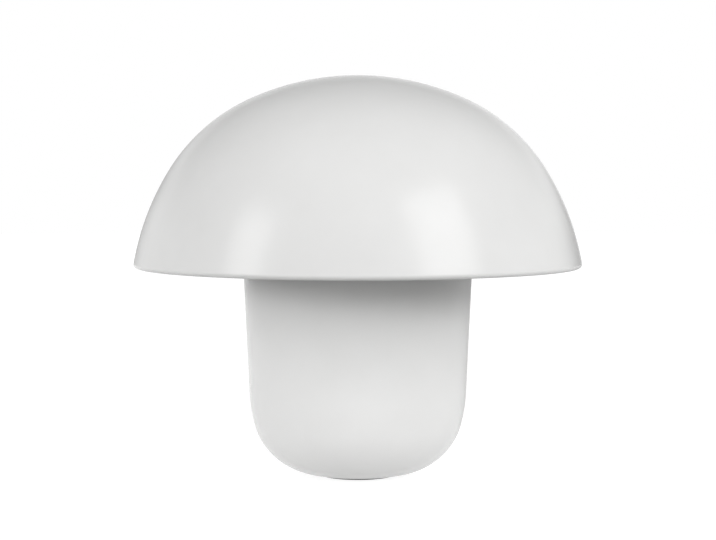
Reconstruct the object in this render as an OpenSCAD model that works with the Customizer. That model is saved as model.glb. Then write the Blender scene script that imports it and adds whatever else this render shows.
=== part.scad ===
// Mushroom table lamp: a wide spun dome that lifts off a wire carrier, over a spun bowl base
// that holds a ballast disc, a deck plate and an E27 lampholder with its bulb.
// Millimetres, +Z up, origin on the floor under the middle of the foot. The front is -Y.

/* [Shade] */
// Outer diameter of the shade at its rolled edge
shade_d = 440; // [420:1:460]
// Underside of the rolled edge above the floor
rim_h = 206; // [200:1:212]
// Radius of the crown, the flattest arc, on top
crown_r = 256; // [246:1:266]
// Slope at which the crown goes over into the shoulder
crown_angle = 24.5; // [22:0.5:27]
// Slope at which the shoulder goes over into the skirt
shoulder_angle = 58; // [54:0.5:62]
// Radius of the skirt, the arc above the rolled edge
skirt_r = 260; // [245:1:275]
// Slope of the skirt where the rolled edge begins
skirt_angle = 79.8; // [77:0.2:82]
// Thickness of the shade's sheet
shade_t = 1.2; // [1:0.1:1.6]
// Outer radius of the shade's rolled edge
shade_roll_r = 4; // [3:0.5:5]
// How far round the edges of the shade and the base are rolled
roll_turn = 235; // [200:5:250]

/* [Shade seat] */
// Drop from the inside of the crown to the underside of the seat ring
seat_drop = 26; // [22:1:30]
// Thickness of the seat ring's sheet
seat_t = 1.5; // [1.2:0.1:2]
// Width of the seat ring's flat inside the carrier wire
seat_in_w = 8; // [6:1:10]
// Depth of the seat ring's turned-down lip
seat_lip_h = 7; // [5:1:9]
// Sideways play of the lip round the carrier pads
seat_play = 5; // [3:0.5:6]
// Angle that each tab spans round the crown
tab_span = 14; // [10:1:18]
// Length of the tabs' welded feet
tab_foot = 11; // [8:1:13]
// Thickness of the tabs
tab_t = 1.5; // [1.2:0.1:2]

/* [Carrier] */
// Radius of the carrier ring, at the middle of its wire
carrier_r = 60; // [54:1:64]
// Diameter of the carrier wire
wire_d = 4; // [3:0.5:5]
// Diameter of the soft pads on the ring
pad_d = 8; // [7:0.5:9]
// Flat cut off the top of the pads, on which the shade rests
pad_flat = 0.6; // [0.3:0.1:1]
// Angle that each pad spans on the ring
pad_span = 36; // [24:2:50]

/* [Base] */
// Outer diameter of the base at its mouth
base_d = 227; // [220:1:236]
// Height of the base's mouth above the floor
base_h = 222; // [217:1:228]
// Lean of the base's wall from upright
wall_taper = 2.7; // [2:0.1:3.4]
// Radius of the arc between the wall and the corner
haunch_r = 150; // [130:5:180]
// Slope at which the corner goes over into the haunch
corner_angle = 75; // [72:1:78]
// Radius of the corner above the foot
corner_r = 66; // [60:1:70]
// Thickness of the base's sheet
base_t = 1.2; // [1:0.1:1.6]
// Outer radius of the base's rolled mouth
base_roll_r = 3; // [2.5:0.25:4]
// Radius of the dish pressed up under the foot
dish_r = 19; // [16:1:21]
// Depth of the dish
dish_h = 7; // [6:0.5:9]
// Thickness of the felt ring under the foot
felt_t = 2; // [1:0.5:3]

/* [Ballast] */
// Thickness of the cast disc
ballast_h = 20; // [16:1:24]
// Gap between the ballast's edge and the bowl
ballast_gap = 0.6; // [0.4:0.1:1.2]
// Depth of the recess in its top
ballast_recess = 3; // [1:0.5:4]
// Width of the raised hub round the bolt
ballast_hub = 12; // [10:0.5:14]
// Width of the recess beyond the edge of the foot
recess_over = 12; // [8:1:16]
// Diameter of the ballast bolt
bolt_d = 8; // [6:1:8]

/* [Deck] */
// Depth of the deck's top below the mouth
deck_drop = 5; // [4:0.5:8]
// Thickness of the deck's sheet
deck_t = 1.5; // [1.2:0.1:2]
// Depth of the deck's turned-down flange
deck_flange = 7; // [6:1:10]
// Gap between the deck and the rolled mouth
deck_gap = 0.6; // [0.4:0.1:1]
// Distance of the deck screws in from the edge of the mouth
screw_in = 15.5; // [14.5:0.5:17.5]
// Angle that each deck bracket spans
bracket_span = 10; // [8:1:14]
// Height of the brackets' welded leg
bracket_h = 22; // [18:1:28]
// Diameter of the deck screws
screw_d = 4; // [3:0.5:4]
// Length of the deck screws under their heads
screw_l = 8; // [6:1:12]

/* [Cord outlet] */
// Slope below level at which the outlet leaves the corner
outlet_angle = 20; // [16:1:26]
// Diameter of the hole in the base
outlet_d = 12; // [11:0.5:14]
// Bore of the bush, for a 7 mm cord
bush_bore = 7.4; // [7:0.1:8]
// Width of the bush's flanges
bush_lip = 2.2; // [1.5:0.1:3]
// Thickness of the bush's flanges
bush_t = 1.8; // [1.2:0.1:2.5]
// Gap between the inner flange and the hollow side of the sheet
bush_gap = 0.6; // [0.6:0.1:0.8]

/* [Lampholder] */
// Outer diameter of the lampholder
holder_d = 39; // [38:0.5:42]
// Height of the lampholder's cap
cap_h = 27; // [26:0.5:29]
// Height of the lampholder's skirt above the cap
skirt_h = 31; // [30:0.5:34]
// Wall of the cap and the skirt
holder_wall = 2; // [1.6:0.1:2.2]
// Inner diameter of the brass screw shell
shell_d = 27; // [26.8:0.1:27.4]
// Outer diameter of the threaded nipple
nipple_d = 10; // [9:0.5:10]
// Bore of the nipple
nipple_bore = 8; // [7.6:0.1:8.2]

/* [Bulb] */
// Diameter of the bulb's globe
globe_d = 60; // [54:1:64]
// Length of the bulb from its contact to its top
bulb_l = 104; // [98:1:106]
// Diameter of the bulb's neck
neck_d = 26; // [25.6:0.1:26.2]
// Radius of the hollow curve between neck and globe
neck_curve = 35; // [28:1:42]
// Thickness of the glass
glass_t = 0.8; // [0.6:0.1:1]
// Diameter over the cap's thread
cap_thread_d = 26.2; // [26:0.1:26.4]
// Pitch of the cap's thread
thread_pitch = 3.629; // [3.4:0.001:3.8]
// Number of filament rods
filament_count = 6; // [4:1:8]
// Length of a filament rod
filament_l = 34; // [28:1:38]

/* [Terminals] */
// Distance of the terminal block behind the middle
block_y = 45; // [42:1:52]
// Spacing of the block's three ways
way_pitch = 8; // [8:0.5:10]
// Depth of the block, along the leads
block_d = 18; // [16:1:20]
// Height of the block
block_h = 13; // [12:0.5:15]
// Diameter of the insulated leads
lead_d = 2.2; // [1.8:0.1:2.4]
// Sideways place of each lead in the nipple
lead_x = 2; // [1.6:0.1:2.2]
// How far the leads hang below the deck
lead_loop = 34; // [28:1:44]

/* [Hidden] */
$fn = 96;

// Clearances between pieces
weld = 0.1;       // skin of weld between a bracket or tab and the sheet that carries it
thread_gap = 0.05; // radial play of a thread or a shank in its hole
slip = 0.2;       // radial play of pieces that slip into each other
far = 400;        // length that passes clean through any piece

// Fineness of the turned outlines, in degrees of slope
arc_step = 2;
roll_step = 15;

// Shade outline: the crown, shoulder and skirt arcs and the rolled edge, all tangent
function dir(a) = [sin(a), cos(a)];
shade_r = shade_d / 2;
roll_out = shade_roll_r * (1 - sin(skirt_angle));
shoulder_r = (shade_r - roll_out - crown_r * sin(crown_angle)
    - skirt_r * (sin(skirt_angle) - sin(shoulder_angle))) / (sin(shoulder_angle) - sin(crown_angle));
skirt_top = crown_r * (1 - cos(crown_angle)) + shoulder_r * (cos(crown_angle) - cos(shoulder_angle));
dome_h = skirt_top + skirt_r * (cos(shoulder_angle) - cos(skirt_angle))
    + shade_roll_r * (1 + cos(skirt_angle));
apex = rim_h + dome_h;
crown_c = [0, apex - crown_r];
shoulder_c = crown_c + (crown_r - shoulder_r) * dir(crown_angle);
skirt_c = shoulder_c + (shoulder_r - skirt_r) * dir(shoulder_angle);
roll_c = skirt_c + (skirt_r - shade_roll_r) * dir(skirt_angle);

// Seat, at which the shade rests on the carrier
seat_z = apex - shade_t - seat_drop;
ring_z = seat_z - pad_d / 2 + pad_flat;
seat_in_r = carrier_r - seat_in_w;
lip_r = carrier_r + pad_d / 2 + seat_play;
web_r = lip_r + seat_t - tab_t;

// Base outline: foot, corner, haunch, wall and rolled mouth, all tangent
mouth_r = base_d / 2;
mouth_c = [mouth_r - base_roll_r, base_h - base_roll_r];
haunch_end = 90 - wall_taper;
corner_rise = corner_r * (1 - cos(corner_angle));
haunch_rise = haunch_r * (cos(corner_angle) - cos(haunch_end));
wall_start_z = felt_t + corner_rise + haunch_rise;
wall_start_r = wall_r(wall_start_z, 0);
foot_r = wall_start_r - haunch_r * (sin(haunch_end) - sin(corner_angle)) - corner_r * sin(corner_angle);
corner_c = [foot_r, felt_t + corner_r];
haunch_c = corner_c - (haunch_r - corner_r) * [sin(corner_angle), -cos(corner_angle)];
floor_z = felt_t + base_t;
dish_foot_r = dish_r + 2;

// Radius of the base's wall at height z, skin d in from the outside
function wall_r(z, d) = mouth_c[0] + (z - mouth_c[1]) * tan(wall_taper)
    + (base_roll_r - d) / cos(wall_taper);

// Deck and what hangs from it
deck_z = base_h - deck_drop;
deck_under = deck_z - deck_t;
deck_r = mouth_r - 2 * base_roll_r - deck_gap;
screw_r = mouth_r - screw_in;
leg_angles = [30, 150, 270];
pad_angles = [90, 210, 330];

// Nuts and screws: width over flats and height for each thread
m4_af = 7;
m4_nut_h = 3.2;
m8_nut_h = 6.5;
m8_head_h = 4.5;
washer_t = 1.6;
nipple_af = 14;
nipple_nut_h = 4;
nipple_washer_t = 0.8;
nipple_over = 7.5;
nipple_z = deck_under - nipple_washer_t - nipple_nut_h - 2;

// Lampholder, measured up from the deck
holder_r = holder_d / 2;
holder_in = holder_r - holder_wall;
boss_r = 8.5;
boss_h = 5;
core_r = holder_in - 1.7;
core_z = deck_z + 17;
core_h = 11;
shell_r = shell_d / 2;
shell_t = 0.4;
shell_h = 26;
shell_z = core_z + core_h;
spigot_h = 7;
contact_w = 6;
contact_t = 0.5;
contact_h = 5.2;
clamp_z = core_z + 4;

// Bulb, measured up from its contact
bulb_z = shell_z + contact_h + 0.3;
contact_r = 4.8;
contact_cap_h = 1.2;
insulator_h = 5.3;
thread_z = bulb_z + 7;
thread_turns = 4;
cap_root_r = cap_thread_d / 2 - 0.85;
cap_t = 0.4;
collar_z = thread_z + (thread_turns + 0.2) * thread_pitch;
collar_h = 5;
neck_r = neck_d / 2;
globe_r = globe_d / 2;
globe_z = bulb_z + bulb_l - globe_r;
curve_x = neck_r + neck_curve;
curve_z = globe_z - sqrt(pow(globe_r + neck_curve, 2) - pow(curve_x, 2));
stem_z = collar_z + 3;
stem_top = globe_z - 22;
fil_low_r = 6;
fil_high_r = 11;
fil_d = 2.2;
fil_z = globe_z - filament_l / 2 + 2;
post_d = 1.2;

// Terminal block and leads
block_w = 3 * way_pitch + 2;
way_z = deck_under - 7;
way_bore = 1.8;
face_y = block_y - block_d / 2;
earth_pos = [way_pitch, 11];
tag_t = 0.8;
tag_z = deck_under - tag_t;
tag_end = 4.4;
barrel_l = 6;
barrel_r = lead_d / 2 + 0.6;
barrel_z = deck_under - weld - barrel_r;
lead_bend = 5;
earth_bend = 2.5;

white = "white";
steel = "silver";
brass = "goldenrod";

// Points along an arc about c, from slope a to slope b, no further than step apart. Slopes are
// measured from straight up, clockwise as seen from the front
function arc(c, r, a, b, step = arc_step) = let (n = ceil(abs(b - a) / step))
    [for (k = [0:n]) c + r * dir(a + (b - a) * k / n)];
function reversed(v) = [for (k = [len(v) - 1:-1:0]) v[k]];

// The dome's skin at depth d, from the apex to the end of the rolled edge
function dome_skin(d) = concat(
    arc(crown_c, crown_r - d, 0, crown_angle),
    arc(shoulder_c, shoulder_r - d, crown_angle + arc_step, shoulder_angle),
    arc(skirt_c, skirt_r - d, shoulder_angle + arc_step, skirt_angle - arc_step),
    arc(roll_c, shade_roll_r - d, skirt_angle, skirt_angle + roll_turn, roll_step));

// The bowl's skin at depth d, from the edge of the foot to the end of the rolled mouth
function bowl_skin(d) = concat(
    arc(corner_c, corner_r - d, 180, 180 - corner_angle),
    arc(haunch_c, haunch_r - d, 180 - corner_angle - arc_step, 180 - haunch_end),
    arc(mouth_c, base_roll_r - d, 180 - haunch_end, 180 - haunch_end - roll_turn, roll_step));

// Point of the crown's skin at depth d and radius r
function crown_at(r, d) = [r, crown_c[1] + sqrt(pow(crown_r - d, 2) - r * r)];

// Round rod of diameter d along points in the X-Z plane, with bends of radius bend
function unit(v) = v / norm(v);
function turn(p, q, s) = let (u = unit(q - p), v = unit(s - q)) atan2(u[0] * v[1] - u[1] * v[0], u * v);
function setback(p, q, s, bend) = bend * tan(abs(turn(p, q, s)) / 2);
module bent_rod(pts, d, bend) {
    n = len(pts);
    for (i = [0:n - 2]) {
        u = unit(pts[i + 1] - pts[i]);
        a = pts[i] + (i == 0 ? 0 : setback(pts[i - 1], pts[i], pts[i + 1], bend)) * u;
        b = pts[i + 1] - (i == n - 2 ? 0 : setback(pts[i], pts[i + 1], pts[i + 2], bend)) * u;
        translate([a[0], 0, a[1]]) rotate([0, atan2(u[0], u[1]), 0]) cylinder(d = d, h = norm(b - a));
    }
    for (i = [1:n - 2]) {
        k = turn(pts[i - 1], pts[i], pts[i + 1]);
        u = unit(pts[i] - pts[i - 1]);
        side = sign(k) * [-u[1], u[0]];
        c = pts[i] - setback(pts[i - 1], pts[i], pts[i + 1], bend) * u + bend * side;
        start = atan2(-side[1], -side[0]);
        translate([c[0], 0, c[1]]) rotate([90, 0, 0])
            rotate([0, 0, k > 0 ? start : start + k])
                rotate_extrude(angle = abs(k)) translate([bend, 0]) circle(d = d);
    }
}

// Hexagon nut over flats af, standing on z = 0, for a shank of diameter d
module hex_nut(af, h, d) {
    corner = af / 2 / cos(30);
    difference() {
        intersection() {
            cylinder(r = corner, h = h, $fn = 6);
            rotate_extrude() polygon([[0, 0], [af / 2, 0], [corner, 0.15 * af / 2],
                                      [corner, h - 0.15 * af / 2], [af / 2, h], [0, h]]);
        }
        translate([0, 0, -1]) cylinder(d = d + 2 * thread_gap, h = h + 2);
    }
}

// Pan-head screw with its head above z = 0 and its shank below, with a cross recess
module pan_screw(d, l) {
    head_r = d;
    head_h = 0.6 * d;
    difference() {
        union() {
            translate([0, 0, -l]) cylinder(d = d, h = l + 0.1);
            intersection() {
                cylinder(r = head_r, h = head_h);
                translate([0, 0, head_h - 1.6 * head_r]) sphere(r = 1.6 * head_r);
            }
        }
        for (a = [0, 90]) rotate([0, 0, a])
            translate([-0.55 * head_r, -0.12 * head_r, head_h - 0.35 * head_r])
                cube([1.1 * head_r, 0.24 * head_r, head_r]);
    }
}

// Slotted grub screw of diameter d with its slot on top at z = 0
module slotted_screw(d, l) {
    difference() {
        translate([0, 0, -l]) cylinder(d = d, h = l);
        translate([-d, -0.15 * d, -0.3 * d]) cube([2 * d, 0.3 * d, d]);
    }
}

// Spun dome with its edge rolled inwards
module shade_dome() {
    color(white) rotate_extrude() polygon(concat(dome_skin(0), reversed(dome_skin(shade_t))));
}

// Flat ring on which the shade stands, with a lip that keeps it round the pads
module shade_seat_ring() {
    color(white) rotate_extrude() polygon([
        [seat_in_r, seat_z], [lip_r, seat_z], [lip_r, seat_z - seat_lip_h],
        [lip_r + seat_t, seat_z - seat_lip_h], [lip_r + seat_t, seat_z + seat_t],
        [seat_in_r, seat_z + seat_t]]);
}

// Three tabs, welded to the seat ring below and to the crown above
module shade_tabs() {
    foot_z = seat_z + seat_t + weld;
    top = shade_t + weld;
    color(white) for (a = leg_angles) rotate([0, 0, a - tab_span / 2]) rotate_extrude(angle = tab_span)
        polygon([[web_r - tab_foot, foot_z], [web_r + tab_t, foot_z],
                 crown_at(web_r + tab_t, top + tab_t), crown_at(web_r + tab_foot, top + tab_t),
                 crown_at(web_r + tab_foot, top), crown_at(web_r, top),
                 [web_r, foot_z + tab_t], [web_r - tab_foot, foot_z + tab_t]]);
}

// Wire ring welded to three legs, whose threaded ends go through the deck
module shade_carrier() {
    leg_foot = deck_under - m4_nut_h - 2;
    color(white) {
        translate([0, 0, ring_z]) rotate_extrude() translate([carrier_r, 0]) circle(d = wire_d);
        for (a = leg_angles) rotate([0, 0, a]) translate([carrier_r, 0, leg_foot])
            cylinder(d = wire_d, h = ring_z - leg_foot);
    }
}

// Soft sleeves on the ring between the legs, cut flat where the shade rests
module carrier_pads() {
    color("gainsboro") for (a = pad_angles) translate([0, 0, ring_z]) rotate([0, 0, a - pad_span / 2])
        rotate_extrude(angle = pad_span) translate([carrier_r, 0]) difference() {
            circle(d = pad_d);
            circle(d = wire_d + 2 * thread_gap);
            translate([-pad_d, seat_z - ring_z]) square([2 * pad_d, pad_d]);
        }
}

// A nut above and below the deck on each leg
module carrier_nuts() {
    color(steel) for (a = leg_angles) rotate([0, 0, a]) translate([carrier_r, 0, 0]) {
        translate([0, 0, deck_z]) hex_nut(wire_d + 3, m4_nut_h, wire_d);
        translate([0, 0, deck_under - m4_nut_h]) hex_nut(wire_d + 3, m4_nut_h, wire_d);
    }
}

// Spun bowl with a rolled mouth and a dish pressed up in its foot
module base_shell() {
    dish_top = felt_t + dish_h;
    hole = corner_c + corner_r * [cos(outlet_angle), -sin(outlet_angle)];
    color(white) difference() {
        rotate_extrude() polygon(concat(
            [[0, dish_top], [dish_r, dish_top], [dish_foot_r, felt_t]],
            bowl_skin(0), reversed(bowl_skin(base_t)),
            [[dish_foot_r + base_t, floor_z], [dish_r + base_t, dish_top + base_t], [0, dish_top + base_t]]));
        translate([0, 0, felt_t]) cylinder(d = bolt_d + 4 * slip, h = dish_h + 5);
        translate([0, hole[0], hole[1]]) rotate([-90 - outlet_angle, 0, 0])
            translate([0, 0, -3 * base_t]) cylinder(d = outlet_d, h = 6 * base_t);
    }
}

// Pressed plate with a turned-down flange that closes the mouth
module base_deck() {
    color(white) difference() {
        rotate_extrude() polygon([
            [0, deck_under], [deck_r - deck_t, deck_under], [deck_r - deck_t, deck_z - deck_flange],
            [deck_r, deck_z - deck_flange], [deck_r, deck_z - 1], [deck_r - 1, deck_z], [0, deck_z]]);
        translate([0, 0, deck_under - 1]) {
            cylinder(d = nipple_d + 4 * thread_gap, h = deck_t + 2);
            for (a = leg_angles) rotate([0, 0, a]) {
                translate([carrier_r, 0, 0]) cylinder(d = wire_d + 2 * slip, h = deck_t + 2);
                translate([screw_r, 0, 0]) cylinder(d = screw_d + 2 * slip, h = deck_t + 2);
            }
            translate([earth_pos[0], earth_pos[1], 0]) cylinder(d = screw_d + 2 * slip, h = deck_t + 2);
            translate([way_pitch / 2, block_y, 0]) cylinder(d = 3 + 2 * slip, h = deck_t + 2);
        }
    }
}

// Three curved angles welded inside the bowl, tapped for the deck screws
module deck_brackets() {
    low = deck_under - bracket_h;
    leg_in = screw_r - 6;
    color(white) for (a = leg_angles) rotate([0, 0, a]) difference() {
        rotate([0, 0, -bracket_span / 2]) rotate_extrude(angle = bracket_span) polygon([
            [leg_in, deck_under - base_t], [leg_in, deck_under], [deck_r - deck_t - slip, deck_under],
            [deck_r - deck_t - slip, deck_z - deck_flange - slip],
            [wall_r(deck_z - deck_flange - slip, base_t + weld), deck_z - deck_flange - slip],
            [wall_r(low, base_t + weld), low], [wall_r(low, 2 * base_t + weld), low],
            [wall_r(deck_z - deck_flange - slip - base_t, 2 * base_t + weld),
             deck_z - deck_flange - slip - base_t],
            [deck_r - deck_t - slip - base_t, deck_z - deck_flange - slip - base_t],
            [deck_r - deck_t - slip - base_t, deck_under - base_t]]);
        translate([screw_r, 0, deck_under - 3]) cylinder(d = screw_d + 2 * thread_gap, h = 6);
    }
}

// Three screws that hold the deck to its brackets
module deck_screws() {
    color(steel) for (a = leg_angles) rotate([0, 0, a]) translate([screw_r, 0, deck_z])
        pan_screw(screw_d, screw_l);
}

// Cast-iron disc that fills the foot of the bowl
module ballast() {
    top = floor_z + ballast_h;
    recess_r = foot_r + recess_over;
    hub_r = bolt_d / 2 + ballast_hub;
    bore_r = bolt_d / 2 + slip;
    edge_r = corner_r - base_t - ballast_gap;
    edge_end = acos((corner_c[1] - top) / edge_r);
    under = floor_z + dish_h + 1;
    color("dimgray") rotate_extrude() polygon(concat(
        [[bore_r, under], [dish_r + base_t + 1, under], [dish_foot_r + base_t + 1, floor_z],
         [foot_r - ballast_gap, floor_z]],
        arc(corner_c, edge_r, 180, 180 - edge_end),
        [[recess_r + ballast_recess, top], [recess_r, top - ballast_recess],
         [hub_r, top - ballast_recess], [hub_r, top], [bore_r, top]]));
}

// Flat-headed bolt up through the dish, with a hexagon socket
module ballast_bolt() {
    head_r = 0.85 * bolt_d;
    under = felt_t + dish_h;
    length = base_t + ballast_h - dish_h + washer_t + m8_nut_h + 3;
    color(steel) difference() {
        union() {
            translate([0, 0, under]) cylinder(d = bolt_d, h = length);
            translate([0, 0, under - m8_head_h]) cylinder(r1 = head_r - 1, r2 = head_r, h = 1);
            translate([0, 0, under - m8_head_h + 1]) cylinder(r = head_r, h = m8_head_h - 1);
        }
        translate([0, 0, under - m8_head_h - 1]) cylinder(r = 0.33 * bolt_d, h = 3.5, $fn = 6);
    }
}

module ballast_washer() {
    color(steel) translate([0, 0, floor_z + ballast_h]) difference() {
        cylinder(r = 1.05 * bolt_d, h = washer_t);
        translate([0, 0, -1]) cylinder(d = bolt_d + 2 * slip, h = washer_t + 2);
    }
}

module ballast_nut() {
    flats = bolt_d + 5;
    color(steel) translate([0, 0, floor_z + ballast_h + washer_t]) hex_nut(flats, m8_nut_h, bolt_d);
}

// Felt ring under the flat of the foot
module foot_felt() {
    color("darkgray") difference() {
        cylinder(r = foot_r - 1, h = felt_t);
        translate([0, 0, -1]) cylinder(r = dish_foot_r + 1.5, h = felt_t + 2);
    }
}

// Bush in the cord's hole at the back of the base
module cord_bush() {
    wall = corner_c + corner_r * [cos(outlet_angle), -sin(outlet_angle)];
    neck = outlet_d / 2 - thread_gap;
    in = -base_t - bush_gap;
    color("whitesmoke") translate([0, wall[0], wall[1]]) rotate([-90 - outlet_angle, 0, 0])
        rotate_extrude() difference() {
            union() {
                translate([0, in - bush_t]) square([neck, base_t + bush_gap + weld + 2 * bush_t]);
                translate([0, in - bush_t]) square([neck + bush_lip, bush_t]);
                intersection() {
                    translate([0, weld]) square([neck + bush_lip, bush_t]);
                    union() {
                        translate([0, weld]) square([neck + bush_lip - bush_t, bush_t]);
                        translate([neck + bush_lip - bush_t, weld]) circle(bush_t);
                    }
                }
            }
            translate([-1, -10]) square([1 + bush_bore / 2, 20]);
        }
}

// Threaded tube that holds the lampholder to the deck
module holder_nipple() {
    color(steel) translate([0, 0, nipple_z]) difference() {
        cylinder(d = nipple_d, h = deck_z + nipple_over - nipple_z);
        translate([0, 0, -1]) cylinder(d = nipple_bore, h = far);
    }
}

module nipple_nut() {
    color(steel) translate([0, 0, deck_under - nipple_washer_t - nipple_nut_h])
        hex_nut(nipple_af, nipple_nut_h, nipple_d);
}

// Toothed lock washer under the deck
module nipple_washer() {
    color(steel) translate([0, 0, deck_under - nipple_washer_t]) difference() {
        cylinder(r = nipple_af / 2 + 1.5, h = nipple_washer_t);
        translate([0, 0, -1]) cylinder(d = nipple_d + 2 * slip, h = nipple_washer_t + 2);
        for (k = [0:11]) rotate([0, 0, 30 * k]) translate([nipple_af / 2 + 2.2, 0, -1])
            cylinder(r = 1.4, h = nipple_washer_t + 2);
    }
}

// Lower half of the lampholder, screwed onto the nipple
module holder_cap() {
    color("whitesmoke") translate([0, 0, deck_z]) rotate_extrude() polygon([
        [nipple_d / 2 + thread_gap, 0], [boss_r - 0.8, 0], [boss_r, 0.8], [boss_r, boss_h],
        [holder_r, 15], [holder_r, cap_h], [holder_in, cap_h], [holder_in, 15.8],
        [boss_r, 8.5], [nipple_d / 2 + thread_gap, 8.5]]);
}

// Upper half of the lampholder, with grip ribs and a lip round its mouth
module holder_skirt() {
    spigot_r = holder_in - thread_gap;
    spigot_in = core_r + slip;
    rib_r = 0.9;
    color("whitesmoke") translate([0, 0, deck_z + cap_h]) {
        rotate_extrude() polygon([
            [spigot_in, -spigot_h], [spigot_r, -spigot_h], [spigot_r, 0], [holder_r, 0],
            [holder_r, skirt_h - 1.5], [holder_r - 1.5, skirt_h], [shell_r + 1.3, skirt_h],
            [shell_r + 1.3, skirt_h - 1.5], [holder_in, skirt_h - 3], [holder_in, 2], [spigot_in, 0.4]]);
        for (k = [0:23]) rotate([0, 0, 15 * k]) translate([holder_r - 0.3, 0, 3])
            cylinder(r = rib_r, h = 12, $fn = 24);
    }
}

// Ceramic insert with the sockets for the leads and their clamp screws
module holder_core() {
    color("ivory") difference() {
        union() {
            translate([0, 0, core_z]) cylinder(r = core_r, h = core_h);
            translate([0, 0, shell_z]) cylinder(r = shell_r - 0.6, h = 2);
        }
        translate([0, 0, shell_z - 1]) cylinder(r = contact_r + 2.5, h = 4);
        for (s = [-1, 1]) {
            translate([s * lead_x, 0, core_z - 1]) cylinder(d = lead_d + 2 * thread_gap, h = 7);
            translate([0, 0, clamp_z]) rotate([0, s * 90, 0]) {
                cylinder(d = 3 + 2 * thread_gap, h = core_r + 1);
                translate([0, 0, core_r - 3]) cylinder(r = 3.2, h = 4);
            }
        }
        for (a = [60, 120, 240, 300]) rotate([0, 0, a]) translate([core_r, 0, core_z - 1])
            cylinder(r = 2.2, h = core_h - 3);
    }
}

// Brass screw shell, rolled with the same thread as the bulb's cap
module holder_shell() {
    z0 = shell_z + weld;
    color(brass) rotate_extrude() difference() {
        union() {
            translate([shell_r, z0]) square([shell_t, shell_h]);
            translate([shell_r, z0]) square([core_r - shell_r - 0.3, shell_t]);
            for (k = [1:thread_turns + 1]) translate([shell_r, z0 + (k + 0.4) * thread_pitch]) circle(1.1);
        }
        translate([0, z0 - 1]) square([shell_r, shell_h + 2]);
    }
}

// Sprung strip under the bulb's contact
module holder_contact() {
    seat = shell_z - 1 + weld;
    top = bulb_z - 0.3;
    color(brass) translate([0, contact_w / 2, 0]) rotate([90, 0, 0]) linear_extrude(contact_w) polygon([
        [-5.5, seat], [2.6, seat], [5.6, top], [-4, top], [-4, top - contact_t],
        [4.9, top - contact_t], [2.2, seat + contact_t], [-5.5, seat + contact_t]]);
}

// Clamp screws of the core, one from each side
module holder_screws() {
    color(steel) for (s = [-1, 1]) translate([0, 0, clamp_z]) rotate([0, s * 90, 0])
        translate([0, 0, core_r - 3]) pan_screw(3, core_r - 3 - lead_x - lead_d / 2 - 0.1);
}

// Three-way block under the deck
module terminal_block() {
    color("white") translate([0, block_y, 0]) difference() {
        union() {
            translate([-block_w / 2, -block_d / 2, deck_under - 3]) cube([block_w, block_d, 3]);
            for (k = [-1:1]) translate([k * way_pitch, 0, way_z]) {
                rotate([90, 0, 0]) cylinder(r = way_bore + 1.3, h = block_d, center = true);
                for (s = [-1, 1]) translate([0, s * block_d / 4, 7 - block_h])
                    cylinder(r = 2.8, h = block_h - 7);
                translate([-way_bore - 1.3, -block_d / 2, 0]) cube([2 * way_bore + 2.6, block_d, 6]);
            }
        }
        for (k = [-1:1]) translate([k * way_pitch, 0, way_z]) {
            rotate([90, 0, 0]) cylinder(r = way_bore, h = block_d + 2, center = true);
            for (s = [-1, 1]) translate([0, s * block_d / 4, 6 - block_h])
                cylinder(r = 1.8, h = block_h - 6);
        }
        translate([way_pitch / 2, 0, deck_under - 8]) cylinder(d = 3 + 2 * thread_gap, h = 10);
    }
}

// Six clamp screws in the block
module terminal_screws() {
    color(steel) for (k = [-1:1], s = [-1, 1])
        translate([k * way_pitch, block_y + s * block_d / 4, way_z + 8 - block_h])
            rotate([180, 0, 0]) slotted_screw(3.5, block_h - 8);
}

// Screw through the deck that holds the block
module block_screw() {
    color(steel) translate([way_pitch / 2, block_y, deck_z]) pan_screw(3, deck_t + 6);
}

module earth_screw() {
    color(brass) translate([earth_pos[0], earth_pos[1], deck_z]) pan_screw(screw_d, deck_t + 8);
}

module earth_nut() {
    color(brass) translate([earth_pos[0], earth_pos[1], tag_z - m4_nut_h]) hex_nut(m4_af, m4_nut_h, screw_d);
}

// Ring terminal on the earth lead
module earth_tag() {
    color(brass) translate([earth_pos[0], earth_pos[1], 0]) difference() {
        union() {
            translate([0, 0, tag_z]) cylinder(r = 4, h = tag_t);
            translate([-1.2, 0, tag_z]) cube([2.4, tag_end + 1, tag_t]);
            translate([0, tag_end, barrel_z]) rotate([-90, 0, 0]) cylinder(r = barrel_r, h = barrel_l);
        }
        translate([0, 0, tag_z - 5]) cylinder(d = screw_d + 2 * slip, h = 10);
        translate([0, tag_end + 1, barrel_z]) rotate([-90, 0, 0])
            cylinder(d = lead_d + 2 * thread_gap, h = barrel_l);
    }
}

// Lead from way k of the block, down in a loop and up through the nipple, s to one side of its axis
module holder_lead(k, s) {
    span = [k * way_pitch - s * lead_x, face_y - 0.3];
    run = norm(span);
    low = deck_under - lead_loop;
    translate([s * lead_x, 0, 0]) rotate([0, 0, atan2(span[1], span[0])])
        bent_rod([[run, way_z], [run - 8, way_z], [run - 8, low], [0, low], [0, core_z + 5]],
                 lead_d, lead_bend);
}

module live_lead() {
    color("saddlebrown") holder_lead(-1, -1);
}

module neutral_lead() {
    color("royalblue") holder_lead(0, 1);
}

module earth_lead() {
    start = earth_pos[1] + tag_end + 1 + weld;
    drop = earth_pos[1] + tag_end + barrel_l + 0.6 + earth_bend;
    low = deck_under - lead_loop / 2;
    rise = face_y - 5;
    color("limegreen") translate([earth_pos[0], 0, 0]) rotate([0, 0, 90])
        bent_rod([[start, barrel_z], [drop, barrel_z], [drop, low], [rise, low],
                  [rise, way_z], [face_y - 0.3, way_z]], lead_d, earth_bend);
}

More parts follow.
